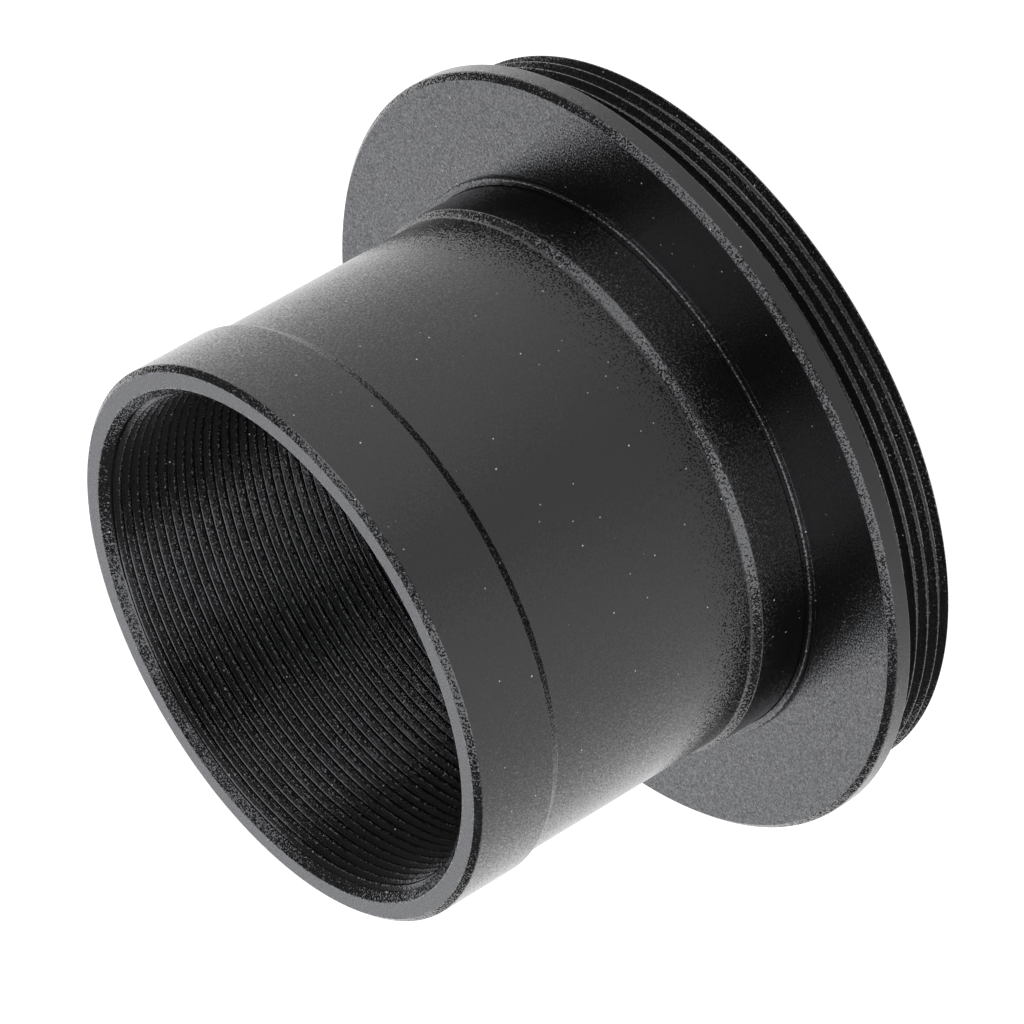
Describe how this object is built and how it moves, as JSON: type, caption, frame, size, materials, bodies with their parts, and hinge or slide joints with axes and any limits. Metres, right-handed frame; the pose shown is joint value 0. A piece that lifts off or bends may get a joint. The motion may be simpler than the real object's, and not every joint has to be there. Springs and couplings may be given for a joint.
{
  "type": "barlow lens nosepiece",
  "caption": "Black push-in telescope nosepiece with a flange, an external rear camera thread, a threaded bore and a screw-in negative lens cell.",
  "frame": {"origin": "centre of the rear thread's end face, on the optical axis", "axes": "+Z along the optical axis from the camera side to the nose; X and Y are free because the part is round"},
  "size_m": [0.044, 0.044, 0.0274],
  "materials": {
    "flange_black": "bead blasted, black anodised",
    "barrel_black": "bead blasted, black anodised",
    "baffle_black": "matte black",
    "cell_black": "satin black anodised",
    "crown_glass": "polished, antireflection coated",
    "spacer_black": "matte black",
    "flint_glass": "polished, antireflection coated",
    "retainer_black": "satin black anodised"
  },
  "bodies": {
    "camera_ring": {"t2_flange_ring": "flange_black"},
    "barrel_slider": {"rear_baffle": "baffle_black"},
    "barrel": {"nosepiece_barrel": "barrel_black"},
    "cell_slider": {"negative_element": "crown_glass", "element_spacer": "spacer_black", "positive_element": "flint_glass"},
    "cell": {"lens_cell": "cell_black", "retaining_ring": "retainer_black"}
  },
  "joints": [
    {"name": "barrel_travel", "type": "slide", "parent": "camera_ring", "child": "barrel_slider", "axis": [0, 0, 1], "range_m": [0, 0.0045]},
    {"name": "barrel_turn", "type": "hinge", "parent": "barrel_slider", "child": "barrel", "pos_m": [0, 0, 0.0142], "axis": [0, 0, 1], "range_deg": [0, 2160]},
    {"name": "cell_travel", "type": "slide", "parent": "barrel", "child": "cell_slider", "axis": [0, 0, 1], "range_m": [0, 0.024]},
    {"name": "cell_turn", "type": "hinge", "parent": "cell_slider", "child": "cell", "pos_m": [0, 0, 0.0074], "axis": [0, 0, 1], "range_deg": [0, 14400]}
  ],
  "couplings": [
    {"joint": "barrel_turn", "follows": "barrel_travel", "rad_per_m": 8377.6},
    {"joint": "cell_turn", "follows": "cell_travel", "rad_per_m": 10472}
  ]
}
